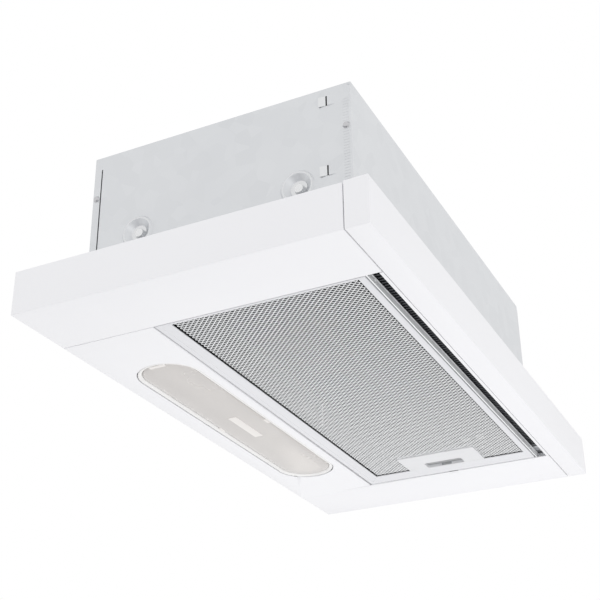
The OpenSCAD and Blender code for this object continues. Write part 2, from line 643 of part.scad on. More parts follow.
// Tray: a shallow duct, closed above and open to the carcass at the back
module drawer_tray() color(galvanised) difference() {
    union() {
        block([-tray_x, tray_x], [fascia_y, screen_y1], [tray_top - t, tray_top]);
        block([-tray_x, tray_x], [fascia_y, fascia_y + t], [screen_top, tray_top]);
        block([-tray_x, -tray_x + t], [fascia_y, screen_y1], [screen_top, tray_top]);
        block([tray_x - t, tray_x], [fascia_y, screen_y1], [screen_z, tray_top]);
        block([screen_x[1] + 0.5, bin - 3], [fascia_y + t, screen_y1], [screen_z, screen_z + t]);
        block([switch_at[0], switch_at[0] + 12], [screen_y1 - t, screen_y1], [screen_top + 2, tray_top]);
    }
    for (s = tray_screws_at) rod_y(screw_r, s[0], [fascia_y - eps, fascia_y + t + eps], s[1]);
}

// Intake screen: a moulded comb of ribs between a front, a middle and a rear bar
module intake_screen() color("black") {
    ribs = floor((screen_x[1] - screen_x[0] - 8) / rib_pitch);
    rows = [[fascia_y + 4, panel_cut_y[0] - 3], [panel_cut_y[1] + 3, screen_y1 - 4]];
    difference() {
        block([screen_x[0], screen_x[1]], [fascia_y, screen_y1], [screen_z, screen_top]);
        for (k = [0 : ribs - 1], row = rows) let (x = screen_x[0] + 4 + k * rib_pitch)
            block([x + rib_w / 2, x + rib_pitch - rib_w / 2], row, [screen_z - eps, screen_top + eps]);
        for (k = [0 : ribs - 1]) let (x = screen_x[0] + 4 + k * rib_pitch) if (x + rib_pitch < panel_cut[0] - 2)
            block([x + rib_w / 2, x + rib_pitch - rib_w / 2], [panel_cut_y[0] + 1, panel_cut_y[1] - 1], [screen_z - eps, screen_top + eps]);
        block(panel_cut, panel_cut_y, [screen_z - eps, screen_top + eps]);
    }
}

// Control panel: a recessed plate with two slider slots, seen from below once the front is out
module control_panel() color(dark) difference() {
    block([panel_cut[0] + 0.2, panel_cut[1] - 0.2], [panel_cut_y[0] + 0.2, panel_cut_y[1] - 0.2], [screen_z, screen_z + 4]);
    block([panel_cut[0] + 3, panel_cut[1] - 3], [panel_cut_y[0] + 3, panel_cut_y[1] - 3], [screen_z - eps, screen_z + 2]);
    for (s = [[light_y, light_travel], [speed_y, speed_travel]])
        block([slider_x - 2.4, slider_x + s[1] + 2.4], [s[0] - 2.2, s[0] + 2.2], [screen_z, screen_z + 5]);
}

// Switch housing above the control panel
module switch_housing() color(dark) difference() {
    block([panel_cut[0] + 3, panel_cut[1] - 3], [panel_cut_y[0] + 3, panel_cut_y[1] - 3], [screen_z + 4, screen_z + 18]);
    block([panel_cut[0] + 5, panel_cut[1] - 5], [panel_cut_y[0] + 5, panel_cut_y[1] - 5], [screen_z + 3, screen_z + 16]);
}

// Slider knob with its stem, at its first position
module slider(y) {
    block([slider_x - 5, slider_x + 5], [y - 4, y + 4], [screen_z + 0.4, screen_z + 1.6]);
    block([slider_x - 1.8, slider_x + 1.8], [y - 1.7, y + 1.7], [screen_z + 1.6, screen_z + 9]);
}

module light_slider() color(white) slider(light_y);

module speed_slider() color(white) slider(speed_y);

// ---- Grease filter -------------------------------------------------------------------------------

// Filter frame: a folded channel round the mesh pack, with a shallow bead along its face
module filter_frame() color("whitesmoke") difference() {
    block([filter_x0, filter_x1], [filter_y0, filter_y1], [filter_z, filter_top]);
    block([filter_x0 + t, filter_x1 - t], [filter_y0 + t, filter_y1 - t], [filter_z + t, filter_top - t]);
    block([filter_x0 + rim_hinge, rim_x], [filter_y0 + rim_front, filter_y1 - rim_rear], [filter_z - eps, filter_z + t + eps]);
    block([filter_x0 + rim_hinge + 3, rim_x - 4], [filter_y0 + rim_front + 3, filter_y1 - rim_rear], [filter_top - t - eps, filter_top + eps]);
    block([filter_x1 - 7, filter_x1 - 6], [filter_y0 + 2, filter_y1 - 5], [filter_z - eps, filter_z + 0.4]);
    block([filter_x0 + 2, filter_x1 - 6], [filter_y1 - 6, filter_y1 - 5], [filter_z - eps, filter_z + 0.4]);
    block([filter_x1 - 2, filter_x1 + eps], [handle_y - tongue_w / 2 - 0.5, handle_y + tongue_w / 2 + 0.5], [filter_z + t, tongue_z[1] + 0.4]);
    rod_y(pivot_r, pivot_x, [filter_y0 - eps, filter_y0 + t + eps], pivot_z);
    rod_y(pivot_r, pivot_x, [filter_y1 - t - eps, filter_y1 + eps], pivot_z);
}

// Pack of expanded aluminium mesh layers, drawn as plain sheets, cut away round the handle
module filter_mesh() color("silver") difference() {
    for (k = [0 : layers - 1]) let (z = filter_z + t + 0.1 + k * (filter_t - 2 * t - 0.2 - layer_t) / (layers - 1))
        block([filter_x0 + t + 0.2, filter_x1 - t - 0.2], [filter_y0 + t + 0.2, filter_y1 - t - 0.2], [z, z + layer_t]);
    block([handle_x - 0.2, filter_x1], [handle_y - handle_l / 2 - 0.2, handle_y + handle_l / 2 + 0.2], [0, filter_top]);
}

module filter_pins() color("silver") {
    rod_y(pivot_r, pivot_x, [sill_y + 0.1, filter_y0 + t], pivot_z);
    rod_y(pivot_r, pivot_x, [filter_y1 - t, lamp_y0 + t], pivot_z);
}

// Handle plate: a moulding set in the mesh, with a finger recess and a channel for the latch
module filter_handle() color("whitesmoke") difference() {
    block([handle_x, rim_x - 0.1], [handle_y - handle_l / 2, handle_y + handle_l / 2], [filter_z, filter_top - t]);
    translate([(grip_x0 + grip_x1) / 2, handle_y, filter_z - eps]) linear_extrude(filter_top - t - 1.4 - filter_z + eps) {
        square([grip_w, grip_l - 6], center = true);
        square([grip_w - 6, grip_l], center = true);
        for (sx = [-1, 1], sy = [-1, 1]) translate([sx * (grip_w / 2 - 3), sy * (grip_l / 2 - 3)]) circle(r = 3);
    }
    block([grip_x0 - 7.5, rim_x], [handle_y - grip_l / 2 - 2, handle_y + grip_l / 2 + 2], [filter_top - t - 1.6, filter_top - t - 0.2]);
    block([grip_x1 - 1, rim_x], [handle_y - tongue_w / 2 - 0.5, handle_y + tongue_w / 2 + 0.5], [filter_z + t, filter_top - t - 0.2]);
}

// Latch: a slide plate over the finger recess, a grip web, and the tongue that lies over the keeper
module filter_latch() color("gray") {
    roof = [filter_top - t - 1.4, filter_top - t - 0.4];
    block([grip_x0 - 1.5, grip_x1 + 1.6], [handle_y - grip_l / 2 - 1.5, handle_y + grip_l / 2 + 1.5], roof);
    block([grip_x1 + 0.3, rim_x + 3], [handle_y - tongue_w / 2, handle_y + tongue_w / 2], [tongue_z[0], roof[1]]);
    block([rim_x + 1, tongue_x], [handle_y - tongue_w / 2, handle_y + tongue_w / 2], tongue_z);
}

// Flat wave spring behind the latch's slide plate
module latch_spring() color("silver") {
    left = grip_x0 - 7.3;
    right = grip_x0 - 1.7 - 0.6;
    waves = [for (i = [0 : 8]) [i % 2 == 0 ? left : right, handle_y - 16 + 4 * i]];
    translate([0, 0, filter_top - t - 1.3]) linear_extrude(0.8)
        polygon(concat(waves, [for (i = [8 : -1 : 0]) waves[i] + [0.6, 0]]));
}

left_side_panel();
right_side_panel();
front_panel();
rear_panel();
top_panel();
front_sill();
left_side_cover();
right_side_cover();
lamp_panel();
rivet_nuts();
left_fixed_rail();
right_fixed_rail();
reflector();
left_lamp_holder();
right_lamp_holder();
left_lamp();
right_lamp();
lamp_lens();
left_blower_shell();
right_blower_shell();
motor();
motor_bracket();
motor_shaft();
blower_wheel();
outlet_collar();
flap_pin();
front_flap();
rear_flap();
terminal_box();
capacitor();
cable_gland();
switch_bracket();
drawer_switch();
switch_plunger();
side_screws();
cover_screws();
outlet_screws();
motor_screws();
reflector_screws();
keeper_leaf();
fascia();
fascia_back();
drawer_tray();
intake_screen();
left_runner();
right_runner();
left_ball_cage();
right_ball_cage();
tray_screws();
control_panel();
switch_housing();
light_slider();
speed_slider();
filter_frame();
filter_mesh();
filter_pins();
filter_handle();
filter_latch();
latch_spring();
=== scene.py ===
import json
from math import radians

import bpy
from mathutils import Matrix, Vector

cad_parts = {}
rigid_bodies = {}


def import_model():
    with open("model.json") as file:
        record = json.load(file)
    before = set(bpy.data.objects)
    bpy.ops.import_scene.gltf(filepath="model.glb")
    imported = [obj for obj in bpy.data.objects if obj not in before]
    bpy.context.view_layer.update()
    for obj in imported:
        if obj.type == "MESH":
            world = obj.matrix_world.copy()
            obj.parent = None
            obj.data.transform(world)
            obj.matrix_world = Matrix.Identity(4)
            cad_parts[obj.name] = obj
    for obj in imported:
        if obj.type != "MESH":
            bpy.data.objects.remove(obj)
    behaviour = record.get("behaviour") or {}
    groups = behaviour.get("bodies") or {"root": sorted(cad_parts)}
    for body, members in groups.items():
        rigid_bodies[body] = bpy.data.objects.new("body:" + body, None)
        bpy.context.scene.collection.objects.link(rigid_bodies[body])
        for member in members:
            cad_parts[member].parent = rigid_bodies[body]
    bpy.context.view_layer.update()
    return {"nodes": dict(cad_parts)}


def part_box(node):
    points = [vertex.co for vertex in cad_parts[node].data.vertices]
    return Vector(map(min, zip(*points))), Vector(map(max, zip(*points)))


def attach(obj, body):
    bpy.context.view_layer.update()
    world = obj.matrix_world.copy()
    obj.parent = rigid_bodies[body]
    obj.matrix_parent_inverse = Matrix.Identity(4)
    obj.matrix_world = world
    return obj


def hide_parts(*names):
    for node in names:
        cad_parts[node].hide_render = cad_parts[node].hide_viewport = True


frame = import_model()
nodes = frame["nodes"]
mm = 0.001


# ---- Studio: camera, daylight, soft boxes, and a pale floor three metres below the hood.
# The hood hangs free as it does under a cabinet, so the camera looks up at it from the left.
camera = bpy.data.objects.new("camera", bpy.data.cameras.new("camera"))
bpy.context.collection.objects.link(camera)
camera.data.sensor_width = 36
camera.data.lens = 71.8
camera.data.clip_start = 0.01
camera.location = (-0.9628, -0.4237, -0.4310)
camera.rotation_euler = (radians(117.446), radians(0.669), radians(-63.718))
bpy.context.scene.camera = camera
bpy.context.scene.view_settings.view_transform = "Standard"

world = bpy.data.worlds.new("studio_white")
bpy.context.scene.world = world
world.use_nodes = True
world.node_tree.nodes["Background"].inputs["Color"].default_value = (1, 1, 1, 1)
world.node_tree.nodes["Background"].inputs["Strength"].default_value = 1.0


def soft_box(name, place, aim, size, watts, tint=(1, 1, 1)):
    lamp = bpy.data.lights.new(name, "AREA")
    lamp.shape = "DISK"
    lamp.size = size
    lamp.energy = watts
    lamp.color = tint
    box = bpy.data.objects.new(name, lamp)
    box.location = place
    box.rotation_euler = (Vector(aim) - Vector(place)).to_track_quat("-Z", "Y").to_euler()
    bpy.context.collection.objects.link(box)


soft_box("low_left_box", (-1.6, -0.9, -0.55), (0, 0, 0.05), 0.9, 1.2)
soft_box("front_box", (0.4, -2.2, 0.1), (0, 0, 0.05), 1.2, 1.3)
soft_box("floor_box", (0.2, -0.1, -0.72), (0, 0, 0), 1.0, 1.7)
soft_box("lens_glint_box", (1.2, 0.62, -0.42), (0.12, 0.1, 0), 0.1, 0.022, (1, 0.95, 0.88))

bpy.ops.object.select_all(action="DESELECT")
bpy.ops.mesh.primitive_circle_add(vertices=64, radius=12, fill_type="NGON", location=(0, 0, -3.2))
floor = bpy.context.object
floor.name = "studio_floor"
floor_paint = bpy.data.materials.new("floor_paint")
floor_paint.use_nodes = True
floor_paint.node_tree.nodes["Principled BSDF"].inputs["Base Color"].default_value = (0.86, 0.86, 0.86, 1)
floor_paint.node_tree.nodes["Principled BSDF"].inputs["Roughness"].default_value = 0.9
floor.data.materials.append(floor_paint)


# ---- Front of the drawer: one steel sheet folded round into a box, with its white lip strip inside.
# The folds have a radius of about a millimetre, and its white powder coat has a fine orange peel.
def surface_group():
    """Broad mottling, fine grain and roughness for every painted, moulded or bare metal surface."""
    tree = bpy.data.node_groups.new("surface_grain", "ShaderNodeTree")
    sockets = tree.interface
    inputs = {"Broad Scale": 6.0, "Fine Scale": 900.0, "Rough Low": 0.4, "Rough High": 0.5}
    for label, value in inputs.items():
        sockets.new_socket(label, in_out="INPUT", socket_type="NodeSocketFloat").default_value = value
    for label in ("Mottle", "Roughness", "Height"):
        sockets.new_socket(label, in_out="OUTPUT", socket_type="NodeSocketFloat")
    make, link = tree.nodes.new, tree.links.new
    start, end = make("NodeGroupInput"), make("NodeGroupOutput")
    place = make("ShaderNodeTexCoord")
    broad, fine = make("ShaderNodeTexNoise"), make("ShaderNodeTexNoise")
    broad.inputs["Detail"].default_value = 4
    fine.inputs["Detail"].default_value = 3
    rough = make("ShaderNodeMapRange")
    rough.inputs["From Min"].default_value = 0.3
    rough.inputs["From Max"].default_value = 0.7
    link(place.outputs["Object"], broad.inputs["Vector"])
    link(place.outputs["Object"], fine.inputs["Vector"])
    link(start.outputs["Broad Scale"], broad.inputs["Scale"])
    link(start.outputs["Fine Scale"], fine.inputs["Scale"])
    link(broad.outputs["Fac"], rough.inputs["Value"])
    link(start.outputs["Rough Low"], rough.inputs["To Min"])
    link(start.outputs["Rough High"], rough.inputs["To Max"])
    link(broad.outputs["Fac"], end.inputs["Mottle"])
    link(rough.outputs["Result"], end.inputs["Roughness"])
    link(fine.outputs["Fac"], end.inputs["Height"])
    return tree


surface_grain = surface_group()


def coloured_finish(name, dark, light, rough, broad=6.0, fine=900.0, bump=0.02, **constants):
    """A finish whose colour wanders between two tones, with a fine grain in its surface."""
    finish = bpy.data.materials.new(name)
    finish.use_nodes = True
    make, link = finish.node_tree.nodes.new, finish.node_tree.links.new
    shader = finish.node_tree.nodes["Principled BSDF"]
    grain = make("ShaderNodeGroup")
    grain.node_tree = surface_grain
    grain.inputs["Broad Scale"].default_value = broad
    grain.inputs["Fine Scale"].default_value = fine
    grain.inputs["Rough Low"].default_value = rough[0]
    grain.inputs["Rough High"].default_value = rough[1]
    tones = make("ShaderNodeMix")
    tones.data_type = "RGBA"
    tones.inputs["A"].default_value = (*dark, 1)
    tones.inputs["B"].default_value = (*light, 1)
    relief = make("ShaderNodeBump")
    relief.inputs["Strength"].default_value = 0.6
    relief.inputs["Distance"].default_value = bump * mm
    link(grain.outputs["Mottle"], tones.inputs["Factor"])
    link(tones.outputs["Result"], shader.inputs["Base Color"])
    link(grain.outputs["Roughness"], shader.inputs["Roughness"])
    link(grain.outputs["Height"], relief.inputs["Height"])
    link(relief.outputs["Normal"], shader.inputs["Normal"])
    for socket, value in constants.items():
        shader.inputs[socket.replace("_", " ")].default_value = value
    return finish


white_coat = coloured_finish("white_powder_coat", (0.82, 0.82, 0.845), (0.87, 0.87, 0.89), (0.42, 0.5),
                             broad=5, fine=1100, bump=0.03, Coat_Weight=0.08, Coat_Roughness=0.3)


def paint_node(node, finish):
    """Gives a CAD node its finish."""
    slots = nodes[node].data.materials
    slots.clear()
    slots.append(finish)


def soft_copy(node, name, body, finish, radius, folded, segments=3):
    """Copies a CAD node and rounds the edges that folded(a, b) names by their two ends in millimetres."""
    bpy.ops.object.select_all(action="DESELECT")
    piece = nodes[node].copy()
    piece.data = nodes[node].data.copy()
    piece.name = piece.data.name = name
    bpy.context.collection.objects.link(piece)
    piece.hide_render = False
    bpy.context.view_layer.objects.active = piece
    piece.select_set(True)
    bpy.ops.object.mode_set(mode="EDIT")
    bpy.ops.mesh.select_mode(type="EDGE")
    bpy.ops.mesh.select_all(action="SELECT")
    bpy.ops.mesh.remove_doubles(threshold=0.000002)
    bpy.ops.mesh.dissolve_limited(angle_limit=radians(0.5))
    bpy.ops.mesh.select_all(action="DESELECT")
    bpy.ops.object.mode_set(mode="OBJECT")
    points = piece.data.vertices
    for edge in piece.data.edges:
        a, b = (points[i].co / mm for i in edge.vertices)
        edge.select = bool(folded(a, b))
    bpy.ops.object.mode_set(mode="EDIT")
    if radius:
        bpy.ops.mesh.bevel(offset=radius * mm, segments=segments, profile=0.5, affect="EDGES")
    bpy.ops.mesh.select_all(action="DESELECT")
    bpy.ops.object.mode_set(mode="OBJECT")
    low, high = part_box(node)
    for point in piece.data.vertices:
        point.co = [min(max(value, least), most) for value, least, most in zip(point.co, low, high)]
    bpy.ops.object.shade_smooth_by_angle(angle=radians(35))
    piece.data.materials.clear()
    piece.data.materials.append(finish)
    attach(piece, body)
    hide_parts(node)
    return piece


def outer_folds(node, planes=2):
    """Names the edges that lie on two or more of the outer planes of a node's box."""
    low, high = (Vector(corner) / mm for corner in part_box(node))

    def folded(a, b):
        return sum(abs(a[k] - side[k]) < 0.02 and abs(b[k] - side[k]) < 0.02
                   for k in range(3) for side in (low, high)) >= planes
    return folded


front_sheet = soft_copy("fascia", "front_sheet", "drawer", white_coat, 1.0, outer_folds("fascia"), 4)
paint_node("fascia_back", white_coat)


# ---- Side covers: the white folded trays left and right of the carcass.
# Their long bottom edge is folded up into the skirt, and a return on top takes the cabinet screws.
for node, name in (("left_side_cover", "left_cover"), ("right_side_cover", "right_cover")):
    cover = soft_copy(node, name, "carcass", white_coat, 1.0, outer_folds(node), 4)


# ---- Lamp panel: white sheet behind the filter, with the opening for the lens and the rail beside it.
# It is folded from one sheet, so its rear edge and the front edge of its flat have small round folds.
def panel_folds(a, b):
    low, high = (Vector(corner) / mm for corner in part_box("lamp_panel"))
    flat = abs(a.z) < 0.02 and abs(b.z) < 0.02
    rear = abs(a.y - high.y) < 0.02 and abs(b.y - high.y) < 0.02
    front = flat and abs(a.y - b.y) < 0.02 and a.y < 68 and a.y > 60
    return (flat and rear) or front


lamp_sheet = soft_copy("lamp_panel", "lamp_sheet", "carcass", white_coat, 0.9, panel_folds, 3)


# ---- Lens: frosted plastic in a clear white rim, crowned a little, with a raised pad and small snap marks.
# Unlit it shows a soft warm grey, and the lamps and the reflector glimmer through it.
lens_low, lens_high = (Vector(corner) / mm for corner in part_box("lamp_lens"))
lens_y = (lens_low.y + lens_high.y) / 2
lens_half = (lens_high.y - lens_low.y) / 2
lens_reach = lens_high.x - lens_half


def long_dish(name, steps, middle, reach, filled):
    """Turns (radius, height) steps into a round dish, then pulls its halves apart by reach each way."""
    bpy.ops.object.select_all(action="DESELECT")
    bpy.ops.mesh.primitive_circle_add(vertices=72, radius=steps[0][0] * mm, rotation=(0, 0, radians(2.5)),
                                      location=(0, middle * mm, steps[0][1] * mm))
    dish = bpy.context.object
    dish.name = dish.data.name = name
    bpy.ops.object.transform_apply(location=True, rotation=True, scale=True)
    bpy.ops.object.mode_set(mode="EDIT")
    bpy.ops.mesh.select_all(action="SELECT")
    for (old, low), (new, high) in zip(steps, steps[1:]):
        bpy.ops.mesh.extrude_edges_move(TRANSFORM_OT_translate={"value": (0, 0, (high - low) * mm)})
        share = new / old
        bpy.ops.transform.resize(value=(share, share, 1), center_override=(0, middle * mm, high * mm))
    if filled:
        bpy.ops.mesh.edge_face_add()
    for side in (-1, 1):
        bpy.ops.mesh.select_all(action="DESELECT")
        bpy.ops.object.mode_set(mode="OBJECT")
        for point in dish.data.vertices:
            point.select = point.co.x * side > 0 and abs(point.co.x) < steps[0][0] * 1.3 * mm
        bpy.ops.object.mode_set(mode="EDIT")
        bpy.ops.mesh.select_mode(type="VERT")
        bpy.ops.transform.translate(value=(side * reach * mm, 0, 0))
    bpy.ops.mesh.select_all(action="SELECT")
    bpy.ops.mesh.normals_make_consistent(inside=False)
    bpy.ops.object.mode_set(mode="OBJECT")
    return dish


rim_plastic = coloured_finish("rim_plastic", (0.80, 0.79, 0.785), (0.86, 0.855, 0.85), (0.12, 0.2),
                              fine=600, bump=0.01, Coat_Weight=0.6, Coat_Roughness=0.08)
rim_steps = [(29.9, 6.4), (29.9, 1.0), (29.6, 0.5), (29.0, 0.3), (28.2, 0.3), (27.4, 0.7), (26.4, 1.7),
             (26.0, 2.1), (26.0, 6.4)]
bezel = long_dish("lens_bezel", rim_steps, lens_y, lens_reach, False)
bpy.ops.object.shade_smooth_by_angle(angle=radians(50))
bezel.data.materials.append(rim_plastic)
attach(bezel, "lens")

lens_plastic = coloured_finish("lens_plastic", (0.71, 0.675, 0.655), (0.85, 0.815, 0.79), (0.2, 0.3),
                               broad=9, fine=600, bump=0.01, Transmission_Weight=0.3, Coat_Weight=0.6,
                               Coat_Roughness=0.16)
crown_steps = [(25.0, 5.0), (25.85, 5.0), (25.9, 2.6), (25.5, 1.9), (24.5, 1.4), (21.0, 1.0), (15.0, 0.8),
               (8.0, 0.75)]
lens = long_dish("frosted_lens", crown_steps, lens_y, lens_reach, True)
bpy.ops.object.shade_smooth_by_angle(angle=radians(60))
lens.data.materials.append(lens_plastic)
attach(lens, "lens")
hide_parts("lamp_lens")

# The raised pad is in the middle, a snap mark at each long side, and a finger mark at the left end.
mark_plastic = coloured_finish("mark_plastic", (0.76, 0.73, 0.71), (0.84, 0.81, 0.785), (0.18, 0.26),
                               bump=0.01, Coat_Weight=0.5, Coat_Roughness=0.1)
mark_tall = 0.9
snap_y = 24.8
finger_x = -158.5
bpy.ops.object.select_all(action="DESELECT")
marks = [(3, 0, 56, 9, 0.85), (0, -snap_y, 10, 3, 1.5), (0, snap_y, 10, 3, 1.5), (finger_x, 0, 4, 16, 1.3)]
for x, y, long, wide, z in marks:
    bpy.ops.mesh.primitive_cube_add(size=1, location=(x * mm, (lens_y + y) * mm, z * mm),
                                    scale=(long * mm, wide * mm, mark_tall * mm))
    bpy.context.object.name = "lens_mark"
for piece in bpy.context.collection.objects:
    piece.select_set(piece.name.startswith("lens_mark"))
bpy.ops.object.join()
lens_marks = bpy.context.object
lens_marks.name = lens_marks.data.name = "lens_marks"
bpy.ops.object.transform_apply(location=True, rotation=True, scale=True)
round_over = lens_marks.modifiers.new("round_over", "BEVEL")
round_over.width = 0.3 * mm
round_over.segments = 2
bpy.ops.object.modifier_apply(modifier="round_over")
lens_marks.data.materials.append(mark_plastic)
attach(lens_marks, "lens")


# ---- Carcass: five panels of bare galvanised sheet, folded and screwed together at their flanges.
# The zinc shows its faint spangle, and threaded inserts are pressed into the side panels.
def zinc_sheet_finish():
    finish = coloured_finish("galvanised_sheet", (0.66, 0.675, 0.695), (0.74, 0.75, 0.765), (0.34, 0.46),
                             broad=9, fine=700, bump=0.012, Metallic=0.85)
    make, link = finish.node_tree.nodes.new, finish.node_tree.links.new
    shader = finish.node_tree.nodes["Principled BSDF"]
    tones = shader.inputs["Base Color"].links[0].from_node
    place, spangle, shade = make("ShaderNodeTexCoord"), make("ShaderNodeTexVoronoi"), make("ShaderNodeMix")
    spangle.inputs["Scale"].default_value = 70
    grey = make("ShaderNodeMapRange")
    grey.inputs["To Min"].default_value = 0.0
    grey.inputs["To Max"].default_value = 0.1
    shade.data_type = "RGBA"
    shade.blend_type = "MULTIPLY"
    shade.inputs["B"].default_value = (0.55, 0.56, 0.58, 1)
    link(place.outputs["Object"], spangle.inputs["Vector"])
    link(spangle.outputs["Color"], grey.inputs["Value"])
    link(grey.outputs["Result"], shade.inputs["Factor"])
    link(tones.outputs["Result"], shade.inputs["A"])
    link(shade.outputs["Result"], shader.inputs["Base Color"])
    return finish


zinc_sheet = zinc_sheet_finish()
for node in ("left_side_panel", "right_side_panel", "front_panel", "rear_panel", "top_panel", "rivet_nuts"):
    paint_node(node, zinc_sheet)



# ---- Sill strip: narrow galvanised strip between the filter and the drawer.
# Its zinc has less metallic shine than that of the panels and is almost matt; its pale colour is painted
# light that lifts the strip out of the shade it renders in.
# Painted light: the base colour is raised near white so that the shaded strip renders lighter.
sill_zinc_painted_pale = coloured_finish("sill_zinc_painted_pale", (0.85, 0.86, 0.875), (0.91, 0.92, 0.93), (0.4, 0.55),
                            broad=40, fine=900, bump=0.012, Metallic=0.1)
paint_node("front_sill", sill_zinc_painted_pale)



# ---- Flange ridges: small ridges rolled along the corner flanges, where the front panel laps the sides.
# One ridge is modelled and repeated up the flange, half sunk in the sheet.
flange_low, flange_high = (Vector(corner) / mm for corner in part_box("front_panel"))
ridge_pitch = 2.7
ridge_count = 46
ridge_start = 46
for name, x, inward in (("left_ridges", flange_low.x, 1), ("right_ridges", flange_high.x, -1)):
    bpy.ops.object.select_all(action="DESELECT")
    place = (x + inward * 0.25, flange_low.y + 4.7, ridge_start)
    bpy.ops.mesh.primitive_cylinder_add(vertices=10, radius=0.5 * mm, depth=5.2 * mm,
                                        location=Vector(place) * mm, rotation=(radians(90), 0, 0))
    ridges = bpy.context.object
    ridges.name = ridges.data.name = name
    bpy.ops.object.transform_apply(location=True, rotation=True, scale=True)
    repeat = ridges.modifiers.new("repeat", "ARRAY")
    repeat.count = ridge_count
    repeat.use_relative_offset = False
    repeat.use_constant_offset = True
    repeat.constant_offset_displace = (0, 0, ridge_pitch * mm)
    bpy.ops.object.modifier_apply(modifier="repeat")
    bpy.ops.object.shade_smooth_by_angle(angle=radians(50))
    ridges.data.materials.append(zinc_sheet)
    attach(ridges, "carcass")



# ---- Bosses: a raised ring and a dished seat round each of the four threaded inserts.
# They are drawn hard over their tool, so they come out brighter than the sheet round them.
drawn_zinc = coloured_finish("drawn_zinc", (0.66, 0.67, 0.68), (0.74, 0.745, 0.755), (0.12, 0.2), fine=500,
                             bump=0.01, Metallic=1.0)
nut_low, nut_high = (Vector(corner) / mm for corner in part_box("rivet_nuts"))
wall_low, wall_high = (Vector(corner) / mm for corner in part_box("left_side_panel"))
nut_flange = 4.4
nut_z = (nut_low.z + nut_high.z) / 2
nut_places = (nut_low.y + nut_flange, nut_high.y - nut_flange)
boss_steps = [(15.0, -1.36), (14.3, -0.3), (13.6, 0.1), (13.0, 0.0), (12.3, -0.3), (8.0, -3.9), (6.6, -4.6),
              (4.4, -4.72)]
for name, crest, turn in (("left_bosses", wall_low.x, -90), ("right_bosses", -wall_low.x, 90)):
    pair = []
    for y in nut_places:
        boss = long_dish(name, boss_steps, 0, 0, False)
        boss.rotation_euler = (0, radians(turn), 0)
        boss.location = (crest * mm, y * mm, nut_z * mm)
        bpy.ops.object.transform_apply(location=True, rotation=True, scale=True)
        pair.append(boss)
    for boss in pair:
        boss.select_set(True)
    bpy.ops.object.join()
    bosses = bpy.context.object
    bosses.name = bosses.data.name = name
    bpy.ops.object.shade_smooth_by_angle(angle=radians(40))
    bosses.data.materials.append(drawn_zinc)
    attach(bosses, "carcass")



# ---- Lanced tabs: behind each of the two slots in a side panel the sheet stands up in a small tab, painted lighter than the sheet as a painted highlight.
# A tab is a thin leaf, tilted a little so that its edge at the slot stands proud.
# Painted highlight: the tab's zinc is coloured a little lighter than the panel's, for the light its tilted
# face catches.
tab_zinc_painted_highlight = coloured_finish("tab_zinc_painted_highlight", (0.72, 0.73, 0.74), (0.77, 0.78, 0.79), (0.3, 0.4), fine=700,
                           bump=0.01, Metallic=0.85)
tab_size = Vector((0.4, 6.4, 9.6))
tab_tilt = 7
tab_y = flange_low.y + 26.0
for name, turn in (("left_tabs", -1), ("right_tabs", 1)):
    bpy.ops.object.select_all(action="DESELECT")
    for z in (wall_high.z - 12.5, nut_z + 8):
        place = (turn * (-wall_low.x - 1.0), tab_y, z)
        bpy.ops.mesh.primitive_cube_add(size=1, location=Vector(place) * mm, scale=tab_size * mm,
                                        rotation=(0, 0, radians(-tab_tilt * turn)))
        bpy.context.object.name = "tab_of_" + name
    for piece in bpy.context.collection.objects:
        piece.select_set(piece.name.startswith("tab_of_" + name))
    bpy.ops.object.join()
    tabs = bpy.context.object
    tabs.name = tabs.data.name = name
    bpy.ops.object.transform_apply(location=True, rotation=True, scale=True)
    tabs.data.materials.append(tab_zinc_painted_highlight)
    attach(tabs, "carcass")



# ---- Plugs: a round metal plug closes each threaded insert until the hood is fixed by its sides.
# It is turned, with a rounded edge.
plug_metal = coloured_finish("plug_metal", (0.74, 0.745, 0.755), (0.82, 0.825, 0.83), (0.2, 0.3),
                             Metallic=0.7)
plug_r = 4.2
plug_deep = 1.2
for name, x, turn in (("left_plugs", nut_low.x, -1), ("right_plugs", nut_high.x, 1)):
    plugs = []
    for y in nut_places:
        bpy.ops.object.select_all(action="DESELECT")
        place = (x + turn * plug_deep / 2, y, nut_z)
        bpy.ops.mesh.primitive_cylinder_add(vertices=36, radius=plug_r * mm, depth=plug_deep * mm,
                                            location=Vector(place) * mm, rotation=(0, radians(90), 0))
        plug = bpy.context.object
        plug.name = "plug"
        bpy.ops.object.transform_apply(location=True, rotation=True, scale=True)
        edge = plug.modifiers.new("edge", "BEVEL")
        edge.width = 0.45 * mm
        edge.segments = 3
        bpy.ops.object.modifier_apply(modifier="edge")
        plugs.append(plug)
    for plug in plugs:
        plug.select_set(True)
    bpy.ops.object.join()
    pair = bpy.context.object
    pair.name = pair.data.name = name
    bpy.ops.object.shade_smooth_by_angle(angle=radians(40))
    pair.data.materials.append(plug_metal)
    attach(pair, "carcass")


# ---- Filter frame: folded aluminium strip in four mitred lengths, with a step pressed along its face.
# Its rim is wider at the latch end, where the handle plate joins it.
satin_aluminium = coloured_finish("satin_aluminium", (0.70, 0.703, 0.728), (0.76, 0.763, 0.788),
                                  (0.36, 0.46), broad=12, fine=800, bump=0.015, Metallic=0.03)
frame_low, frame_high = (Vector(corner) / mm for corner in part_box("filter_frame"))
handle_low, handle_high = (Vector(corner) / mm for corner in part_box("filter_handle"))
frame_size = frame_high - frame_low
frame_middle = (frame_low + frame_high) / 2
rims = {"left": 3.5, "right": frame_high.x - handle_high.x, "front": 6.5, "rear": 14.0}
window = (frame_low.x + rims["left"], handle_high.x,
          frame_low.y + rims["front"], frame_high.y - rims["rear"])
edge_height = 0.5
skirt_height = 5.4
strip_t = 0.7
mitre_width = 0.22
mitre_deep = 0.25

